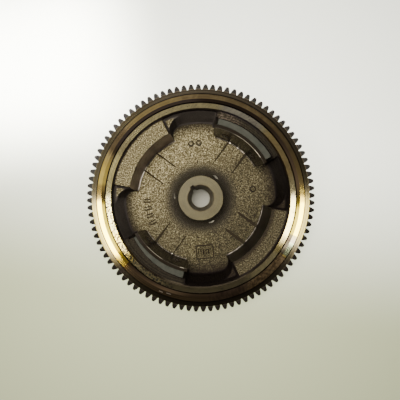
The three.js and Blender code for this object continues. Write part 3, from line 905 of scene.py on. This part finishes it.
def turning_cuts():
    """Everything that is finished in one turning set-up, as disjoint rings and discs."""
    rim = turned([
        (CUP_MOUTH_R + 0.2, 61.8), (CUP_MOUTH_R + 0.2, RIM_FACE_Z - 0.3),
        (CUP_MOUTH_R + 0.5, RIM_FACE_Z),
        (SPIGOT_R - 0.4, RIM_FACE_Z), (SPIGOT_R, RIM_FACE_Z - 0.4), (SPIGOT_R, GEAR_SEAT_Z),
        (125, GEAR_SEAT_Z), (125, 75), (90, 75), (90, 61.8),
    ], 360)
    inner = POLE_BORE_R - 1
    poles = turned([(inner, FLOOR_Z + 0.4), (POLE_BORE_R, FLOOR_Z + 0.4),
                    (POLE_BORE_R, POLE_TOP_Z + 0.8), (inner, POLE_TOP_Z + 0.8)], 360)
    hub = post([(HUB_R + 4, 58), (HUB_R + 4, HUB_FACE_Z)], steps=96)
    boss = post([(50, 1), (50, BOSS_BACK_Z)], steps=96)
    tips = post([(150, -5), (150, 0)], steps=96)
    rim_slots = [3, 3, 0, 3, 0, 0, 0, 0, 0, 3]
    shells = [(*rim, rim_slots), (*poles, 1), (*hub, 2), (*boss, 2), (*tips, 2)]
    return make("turning_cuts", shells, (RIM_FACE, POLE_FACE, HUB_FACE, EDGE))


def tapped_hole(degrees):
    """A puller hole with V threads, ending in the drill's point."""
    stations = [(5.3, 0), (5.3, BOSS_BACK_Z), (4.5, BOSS_BACK_Z + 0.8)]
    z = BOSS_BACK_Z + 1.2
    while z < PULLER_HOLE_TOP_Z - 1:
        stations += [(5.0, z), (4.5, z + 0.55)]
        z += 1.25
    stations += [(5.0, PULLER_HOLE_TOP_Z + 0.8), (0.1, PULLER_HOLE_TOP_Z + 2.7)]
    return post(stations, PULLER_CIRCLE_R, degrees, 32)


def core_lines():
    """The narrow lines that run across the floor to both sides of each pole."""
    shells = []
    for pole, pair in CORE_LINE_WIDTHS.items():
        for side, widths in zip((CORE_LINE_SIDE, -CORE_LINE_SIDE), pair):
            loops = []
            for z in (FLOOR_Z - 1.8, FLOOR_Z + 1.8):
                loop = []
                for r, width in zip(CORE_LINE_ENDS, widths):
                    for edge in (side + width / 2, side - width / 2):
                        loop.append((*spun(r, edge, pole), z))
                loops.append([loop[0], loop[1], loop[3], loop[2]])
            shells.append(skin(loops))
    return shells


def mark_grooves():
    """Dark-filled creases beside the bars and round the frame and the dots: painted shadow round
    the raised marks.
    """
    middle = FLOOR_Z + 0.3
    shells = []
    for r, degrees, radius in DOTS:
        x, y, _ = polar(r, degrees, 0)
        points, faces = turned([
            (radius + 0.1, FLOOR_Z - 0.7), (radius + 1.2, FLOOR_Z - 0.7),
            (radius + 1.2, FLOOR_Z + 1.3), (radius + 0.1, FLOOR_Z + 1.3),
        ], 24)
        shells.append(([(x + px, y + py, pz) for px, py, pz in points], faces))
    for degrees in TALLY_BARS:
        for side in (-1.9, 1.9):
            shells.append(block((TALLY_LENGTH, 1.0, 2), MARK_R, side, middle, degrees))
    bars = ((1.4, 22, 8.4, 0), (17, 1.4, 0, 10.7), (6.5, 1.2, 0, 1.2), (6.5, 1.2, 0, 5.2))
    return shells + frame_bars(bars, middle, 2)


def drilling_cuts():
    """The tapered bore, puller holes, balance drillings, screw clearance and dark-filled lines."""
    bore = post([
        (BORE_SMALL_R + 0.8, 0), (BORE_SMALL_R + 0.8, BOSS_BACK_Z),
        (BORE_SMALL_R, BOSS_BACK_Z + 0.8), (BORE_LARGE_R, HUB_FACE_Z - 0.8),
        (BORE_LARGE_R + 0.8, HUB_FACE_Z), (BORE_LARGE_R + 0.8, 60),
    ], steps=96)
    shells = [(*bore, 0)]
    shells += [(*tapped_hole(degrees), 1) for degrees in PULLER_HOLES]
    shells += [(*shell, 2) for shell in core_lines() + mark_grooves()]
    for pitch in BALANCE_DRILLINGS:
        hole = post([(3.5, -1), (3.5, 19), (0.1, 21)], 100, pitch * 360 / BLADES - 6.75, 32)
        shells.append((*hole, 1))
    shank_r = SCREW_SHANK_R + GAP
    for pole in MAGNET_POLES.values():
        for turn in SCREW_TURNS:
            hole = radial_post([(86, shank_r), (100, shank_r)], SCREW_Z, pole + turn)
            shells.append((*hole, 0))
    return make("drilling_cuts", shells, (BORE, FRESH, CORE_LINE))


def keyway_cut():
    """A square bar laid along the tapered bore's wall."""
    lean = math.degrees(math.atan(TAPER))
    middle_r = (BORE_LARGE_R + BORE_SMALL_R) / 2
    middle_z = (HUB_FACE_Z + BOSS_BACK_Z) / 2
    points, faces = block((KEYWAY_WIDTH, KEYWAY_WIDTH, 70), 0, 0, 0, 0)
    moved = []
    for x, y, z in points:
        px, pz = spun(x, z, -lean)
        moved.append((*spun(px + middle_r, y, KEYWAY_ANGLE), pz + middle_z))
    return make("keyway_cut", [(moved, faces)], (BORE,))


def casting():
    """The sand casting, rounded and roughened, and then machined."""
    shells = [rough_body(), *rough_poles(), *foundry_marks()]
    shells += [blade(i) for i in range(BLADES)]
    obj = make("flywheel_casting_finished", shells, (CAST,))
    remesh = obj.modifiers.new("sand_mould", "REMESH")
    remesh.mode = "VOXEL"
    remesh.voxel_size = VOXEL * MM
    obj.modifiers.new("smooth", "SMOOTH").iterations = 2
    clouds(obj, 9, 0.5)
    clouds(obj, 2.2, 0.3)
    apply_modifiers(obj)
    for cutter in (turning_cuts(), drilling_cuts(), keyway_cut()):
        cut(obj, cutter)
    return smooth_faces(obj, 40)


# ------------------------------------------------------------------- ring gear


def half_tooth(r):
    """Half the angle of a tooth at a radius, in degrees, from its involute."""
    pressure = math.radians(20)
    at_r = math.acos(PITCH_R * math.cos(pressure) / r)
    inv = (math.tan(pressure) - pressure) - (math.tan(at_r) - at_r)
    up = (r - ROOT_R) / (TIP_R - ROOT_R)
    growth = TOOTH_GROWTH + TOOTH_BULGE * up * (1 - up)
    return math.degrees(math.pi / (2 * TEETH) + inv + growth / r)


def tooth_loop(z, edge, bevel):
    """The gear's outline at one height. edge insets it all round, and bevel lowers the
    anticlockwise flank of every tooth by so many millimetres."""
    pitch = 360 / TEETH
    flank_radii = [ROOT_R + 0.7, ROOT_R + 1.9, PITCH_R, TIP_R - 1.2, TIP_R - 0.45]
    loop = []
    for tooth in range(TEETH):
        centre = tooth * pitch
        foot = half_tooth(ROOT_R) + 0.1
        loop += [polar(ROOT_R - edge, centre - pitch / 2, z),
                 polar(ROOT_R + 0.12 - edge, centre - foot, z)]
        for r in flank_radii:
            half = half_tooth(r) - math.degrees(edge / r)
            loop.append(polar(r - edge * 0.3, centre - half, z))
        tip_half = half_tooth(TIP_R) - math.degrees(edge / TIP_R)
        low = tip_half - math.degrees(bevel / TIP_R)
        loop += [polar(TIP_R - edge, centre - tip_half * 0.62, z),
                 polar(TIP_R - edge, centre + low * 0.62, z)]
        for r in reversed(flank_radii):
            half = half_tooth(r) - math.degrees((edge + bevel) / r)
            loop.append(polar(r - edge * 0.3, centre + half, z))
        loop.append(polar(ROOT_R + 0.12 - edge, centre + foot, z))
    return loop


def ring_gear():
    """Rings from the bore, over the face with its turned line, round the teeth and back."""
    top = GEAR_FACE_Z
    low = GEAR_BACK_Z
    bore = SPIGOT_R + GAP
    outer = tooth_loop(top, 0, 0)

    def ring(r, z):
        """A circle whose points are at the angles of the teeth's outline."""
        return [(x * r / math.hypot(x, y), y * r / math.hypot(x, y), z) for x, y, _ in outer]

    loops = [
        ring(bore, low + 0.5), ring(bore, RIM_FACE_Z - 0.2),
        ring(bore + 0.15, RIM_FACE_Z + 0.05), ring(bore + 2.95, top - 0.1),
        ring(bore + 3.05, top), ring(SCRIBED_R - 0.5, top), ring(SCRIBED_R - 0.2, top - 0.5),
        ring(SCRIBED_R + 0.2, top - 0.5), ring(SCRIBED_R + 0.5, top), ring(LAND_R, top),
        tooth_loop(top, 0.2, 0.5), tooth_loop(top - 0.2, 0.0, 0.55),
        tooth_loop(top - 2.6, 0.0, 0.0), tooth_loop(low + 0.3, 0.0, 0.0),
        tooth_loop(low, 0.3, 0.0), ring(LAND_R, low), ring(bore + 0.5, low),
    ]
    obj = make("ring_gear_finished", [skin(loops, wrap=True)], (GEAR,))
    return smooth_faces(obj, 18)


# ----------------------------------------------------------------- pole pieces


def screw_holes(pole, material):
    """A pole's two countersunk holes, a gap wider than their screws all round."""
    face = POLE_BORE_R + 0.3
    head = SCREW_HEAD_R + GAP
    shank = SCREW_SHANK_R + GAP
    stations = [(face - 3, head), (face, head), (face + 2.4, shank), (POLE_ROOT_R, shank)]
    shells = [radial_post(stations, SCREW_Z, pole + turn) for turn in SCREW_TURNS]
    return make("screw_holes", shells, (material,))


def pole_shoe(letter, pole):
    """A bored steel arc with rounded lower corners and two countersunk holes."""
    outer = POLE_BORE_R + SHOE_THICKNESS
    levels = [(SHOE_LOW_Z, POLE_BORE_R, outer, MAGNET_POLE_SPAN - 7)]
    for drop, narrower in ((33, 4.2), (30, 2.6), (25, 1.3), (18, 0.4), (10, 0), (0.35, 0)):
        span = MAGNET_POLE_SPAN - narrower
        levels.append((POLE_TOP_Z - drop, POLE_BORE_R, outer, span))
    levels.append((POLE_TOP_Z, POLE_BORE_R + 0.35, outer - 0.35, MAGNET_POLE_SPAN - 0.5))
    obj = make(f"pole_shoe_{letter}_finished", [pad(levels, pole, 64)], (SHOE,))
    cut(obj, screw_holes(pole, SCREW))
    return smooth_faces(obj, 30)


def magnet(letter, pole):
    section = chamfered(MAGNET_R, MAGNET_R + MAGNET_THICKNESS, MAGNET_LOW_Z, MAGNET_TOP_Z, 0.6)
    shell = arc_bar(section, pole, MAGNET_SPAN, 0.8, 96, 0.15)
    obj = make(f"magnet_{letter}_finished", [shell], (MAGNET,))
    cut(obj, screw_holes(pole, MAGNET))
    return smooth_faces(obj, 30)


def screw(letter, number, pole):
    angle = pole + SCREW_TURNS[number - 1]
    stations = [(POLE_BORE_R + 0.3, SCREW_HEAD_R - 0.2), (POLE_BORE_R + 0.4, SCREW_HEAD_R),
                (POLE_BORE_R + 2.8, SCREW_SHANK_R), (POLE_ROOT_R - 0.6, SCREW_SHANK_R),
                (POLE_ROOT_R, SCREW_SHANK_R - 0.6)]
    name = f"pole_shoe_screw_{letter}{number}_finished"
    obj = make(name, [radial_post(stations, SCREW_Z, angle)], (SCREW,))
    slot = block((1.6, 1.4, 14), POLE_BORE_R + 0.3, 0, SCREW_Z, angle)
    cut(obj, make("slot", [slot], (SCREW,)))
    return smooth_faces(obj, 30)


# ----------------------------------------------------------------------- stage


def camera():
    """Straight down the axis from the engine side. height is above the gear's face, and
    width is what the view takes in there."""
    height = 236.4
    width = 429.8
    data = bpy.data.cameras.new("camera")
    data.sensor_width = 36
    data.lens = 36 * height / width
    data.clip_start = 0.01
    obj = bpy.data.objects.new("camera", data)
    x, y = spun(-0.86, -2.26, -VIEW_TURN)
    obj.location = (x * MM, y * MM, (GEAR_FACE_Z + height) * MM)
    obj.rotation_euler = (0, 0, math.radians(-VIEW_TURN))
    bpy.context.scene.collection.objects.link(obj)
    bpy.context.scene.camera = obj


def floor():
    """A pale floor with painted shade: greyer on one side, and a painted shadow where it shows
    through the bore.
    """
    obj = make("floor", [block((3000, 3000, 10), 0, 0, -5.05, 0)])
    look = Look("pale_floor")
    tone = look.mix(look.noise(0.004, 2.0), (0.86, 0.885, 0.8), (0.92, 0.945, 0.86))
    # Painted shade: greyer and yellower towards the lower right.
    shaded_side = look.step(look.less(look.y, look.times(look.x, -0.3)), 130, -170)
    tone = look.mix(look.times(shaded_side, 0.9), tone, (0.245, 0.262, 0.13))
    # Painted shadow under the hub, where the floor shows through the bore.
    tone = look.mix(look.step(look.r, 30, 18), tone, (0.13, 0.122, 0.095))
    obj.data.materials.append(look.done(tone, 0.7, 0.0))


def card(name, bearing, r, z, size, power, down=False):
    """A rectangular soft light, aimed at the middle of the flywheel or, in a narrow beam,
    straight down. Its bearing is in degrees anticlockwise from the view's right."""
    data = bpy.data.lights.new(name, "AREA")
    data.shape = "RECTANGLE"
    data.size, data.size_y = size[0] * MM, size[1] * MM
    data.energy = power
    data.color = (1, 0.985, 0.91)
    data.spread = math.radians(40 if down else 180)
    obj = bpy.data.objects.new(name, data)
    place = Vector(polar(r, bearing - VIEW_TURN, z))
    obj.location = place * MM
    aim = Vector((0, 0, -1)) if down else Vector((0, 0, 60)) - place
    obj.rotation_euler = aim.to_track_quat("-Z", "Y").to_euler()
    obj.visible_camera = False
    bpy.context.scene.collection.objects.link(obj)


def room():
    """A dim room, lighter overhead on one side, that the turned faces mirror."""
    world = bpy.data.worlds.new("room")
    world.use_nodes = True
    tree = world.node_tree
    place = tree.nodes.new("ShaderNodeTexCoord")
    dot = tree.nodes.new("ShaderNodeVectorMath")
    dot.operation = "DOT_PRODUCT"
    dot.inputs[1].default_value = polar(0.5, 120, 0)
    shift = tree.nodes.new("ShaderNodeMath")
    shift.inputs[1].default_value = 0.5
    ramp = tree.nodes.new("ShaderNodeValToRGB")
    greys = ((0.12, 0.2), (0.3, 0.11), (0.45, 0.16), (0.52, 0.24), (0.66, 0.45), (0.72, 0.7),
             (0.8, 0.16))
    fill_ramp(ramp.color_ramp, [(at, (g, g * 0.98, g * 0.92)) for at, g in greys])
    tree.links.new(place.outputs["Generated"], dot.inputs[0])
    tree.links.new(dot.outputs["Value"], shift.inputs[0])
    tree.links.new(shift.outputs[0], ramp.inputs["Fac"])
    tree.links.new(ramp.outputs["Color"], tree.nodes["Background"].inputs["Color"])
    bpy.context.scene.world = world


def lights():
    room()
    card("lamp_overhead", 130, 95, 576, (220, 220), 11)
    card("lamp_left", 197, 387, 666, (225, 160), 2.7)
    card("lamp_left_dim", 166, 387, 666, (180, 160), 0.05)
    card("lamp_right", 347.5, 387, 666, (185, 160), 2.2)
    card("window_right", 19, 640, 540, (330, 200), 0.6)
    card("window_left", 161, 640, 540, (290, 200), 0.8)
    card("window_low", 346, 640, 540, (240, 200), 0.07)
    card("lamp_floor", 152, 370, 260, (420, 200), 3.0, down=True)


# -------------------------------------------------------------------- assembly


def ride(obj, node):
    """Puts a finished piece on the one body, in its CAD node's place."""
    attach(obj, "root")
    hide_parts(node)


camera()
ride(casting(), "flywheel_casting")
ride(ring_gear(), "ring_gear")
for letter, pole in MAGNET_POLES.items():
    ride(magnet(letter, pole), f"magnet_{letter}")
    ride(pole_shoe(letter, pole), f"pole_shoe_{letter}")
    for number in (1, 2):
        node = f"pole_shoe_screw_{letter}{number}"
        ride(screw(letter, number, pole), node)
floor()
lights()
